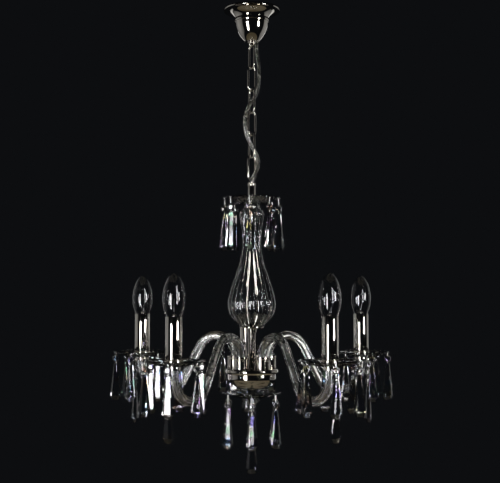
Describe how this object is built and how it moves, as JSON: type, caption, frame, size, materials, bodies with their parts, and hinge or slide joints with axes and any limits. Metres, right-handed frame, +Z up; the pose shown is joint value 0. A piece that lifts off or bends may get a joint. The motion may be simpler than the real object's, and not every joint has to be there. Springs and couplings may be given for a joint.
{
  "type": "crystal chandelier",
  "caption": "Ceiling chandelier with glass arms, candle lamps, cut-glass drops and a chain that carries it from a round canopy.",
  "frame": {"origin": "middle of the canopy's ceiling face, between the two ceiling screws", "axes": "+Z up towards the ceiling, +X along the line of the ceiling screws, +Y to the back of the pictured view"},
  "size_m": [0.4976, 0.4705, 0.7991],
  "materials": {
    "nickel": "polished dark nickel",
    "steel": "zinc plated",
    "clear_glass": "clear, ribbed",
    "crystal": "cut and polished",
    "lamp_glass": "clear",
    "cable_clear": "clear sheath over silvery cores",
    "terminal_white": "moulded",
    "holder_black": "moulded",
    "wire_grey": "insulated"
  },
  "bodies": {
    "root": {"ceiling_bracket": "steel", "canopy_shell": "nickel", "canopy_cup": "nickel", "canopy_nipple": "steel", "canopy_collar": "nickel", "terminal_block": "terminal_white", "power_cable": "cable_clear"},
    "link_1": {"chain_link_1": "nickel"},
    "link_2": {"chain_link_2": "nickel"},
    "link_3": {"chain_link_3": "nickel"},
    "link_4": {"chain_link_4": "nickel"},
    "link_5": {"chain_link_5": "nickel"},
    "link_6": {"chain_link_6": "nickel"},
    "fixture": {"stem_eye": "nickel", "stem_tube": "nickel", "tie_rod": "steel", "top_dish": "clear_glass", "top_collar": "clear_glass", "top_crystals": "crystal", "vase": "clear_glass", "vase_seat": "nickel", "hub_plate": "nickel", "hub_bowl": "nickel", "arm_sockets": "nickel", "bottom_dish": "clear_glass", "bottom_collar": "clear_glass", "finial": "nickel", "bottom_crystals": "crystal", "rim_pins": "steel", "arm_wires": "wire_grey", "candle_cups": "nickel", "lampholders": "holder_black", "candle_tubes": "nickel", "arm_1": "clear_glass", "arm_2": "clear_glass", "arm_3": "clear_glass", "arm_4": "clear_glass", "arm_5": "clear_glass", "arm_dish_1": "clear_glass", "arm_dish_2": "clear_glass", "arm_dish_3": "clear_glass", "arm_dish_4": "clear_glass", "arm_dish_5": "clear_glass", "arm_crystals_1": "crystal", "arm_crystals_2": "crystal", "arm_crystals_3": "crystal", "arm_crystals_4": "crystal", "arm_crystals_5": "crystal"},
    "lamp_1": {"bulb_1": "lamp_glass"},
    "lamp_2": {"bulb_2": "lamp_glass"},
    "lamp_3": {"bulb_3": "lamp_glass"},
    "lamp_4": {"bulb_4": "lamp_glass"},
    "lamp_5": {"bulb_5": "lamp_glass"},
    "pendant_1": {"pendant_1": "crystal"},
    "pendant_2": {"pendant_2": "crystal"},
    "pendant_3": {"pendant_3": "crystal"},
    "pendant_4": {"pendant_4": "crystal"},
    "pendant_5": {"pendant_5": "crystal"},
    "bottom_pendant": {"bottom_pendant": "crystal"}
  },
  "joints": [
    {"name": "chain_swing_1", "type": "hinge", "parent": "root", "child": "link_1", "pos_m": [0, 0, -0.0656], "axis": [0.8192, 0.5736, 0], "range_deg": [-15, 15], "deforming": ["power_cable"]},
    {"name": "chain_swing_2", "type": "hinge", "parent": "link_1", "child": "link_2", "pos_m": [0, 0, -0.1045], "axis": [0.5736, -0.8192, 0], "range_deg": [-15, 15], "deforming": ["power_cable"]},
    {"name": "chain_swing_3", "type": "hinge", "parent": "link_2", "child": "link_3", "pos_m": [0, 0, -0.1434], "axis": [0.8192, 0.5736, 0], "range_deg": [-15, 15], "deforming": ["power_cable"]},
    {"name": "chain_swing_4", "type": "hinge", "parent": "link_3", "child": "link_4", "pos_m": [0, 0, -0.1823], "axis": [0.5736, -0.8192, 0], "range_deg": [-15, 15], "deforming": ["power_cable"]},
    {"name": "chain_swing_5", "type": "hinge", "parent": "link_4", "child": "link_5", "pos_m": [0, 0, -0.2212], "axis": [0.8192, 0.5736, 0], "range_deg": [-15, 15], "deforming": ["power_cable"]},
    {"name": "chain_swing_6", "type": "hinge", "parent": "link_5", "child": "link_6", "pos_m": [0, 0, -0.2601], "axis": [0.5736, -0.8192, 0], "range_deg": [-15, 15], "deforming": ["power_cable"]},
    {"name": "chain_swing_7", "type": "hinge", "parent": "link_6", "child": "fixture", "pos_m": [0, 0, -0.299], "axis": [0.8192, 0.5736, 0], "range_deg": [-15, 15], "deforming": ["power_cable"]},
    {"name": "lamp_draw_1", "type": "slide", "parent": "fixture", "child": "lamp_1", "axis": [0, 0, 1], "range_m": [0, 0.045]},
    {"name": "lamp_draw_2", "type": "slide", "parent": "fixture", "child": "lamp_2", "axis": [0, 0, 1], "range_m": [0, 0.045]},
    {"name": "lamp_draw_3", "type": "slide", "parent": "fixture", "child": "lamp_3", "axis": [0, 0, 1], "range_m": [0, 0.045]},
    {"name": "lamp_draw_4", "type": "slide", "parent": "fixture", "child": "lamp_4", "axis": [0, 0, 1], "range_m": [0, 0.045]},
    {"name": "lamp_draw_5", "type": "slide", "parent": "fixture", "child": "lamp_5", "axis": [0, 0, 1], "range_m": [0, 0.045]},
    {"name": "pendant_swing_1", "type": "hinge", "parent": "fixture", "child": "pendant_1", "pos_m": [-0.00946, 0.21679, -0.6128], "axis": [-0.0436, 0.999, 0], "range_deg": [-20, 20]},
    {"name": "pendant_swing_2", "type": "hinge", "parent": "fixture", "child": "pendant_2", "pos_m": [0.20638, 0.06706, -0.6128], "axis": [0.9511, 0.309, 0], "range_deg": [-20, 20]},
    {"name": "pendant_swing_3", "type": "hinge", "parent": "fixture", "child": "pendant_3", "pos_m": [-0.20638, 0.06706, -0.6128], "axis": [-0.9511, 0.309, 0], "range_deg": [-20, 20]},
    {"name": "pendant_swing_4", "type": "hinge", "parent": "fixture", "child": "pendant_4", "pos_m": [0.12755, -0.17556, -0.6128], "axis": [0.5878, -0.809, 0], "range_deg": [-20, 20]},
    {"name": "pendant_swing_5", "type": "hinge", "parent": "fixture", "child": "pendant_5", "pos_m": [-0.12755, -0.17556, -0.6128], "axis": [-0.5878, -0.809, 0], "range_deg": [-20, 20]},
    {"name": "bottom_pendant_swing", "type": "hinge", "parent": "fixture", "child": "bottom_pendant", "pos_m": [0, 0, -0.6903], "axis": [0, 1, 0], "range_deg": [-25, 25]}
  ]
}
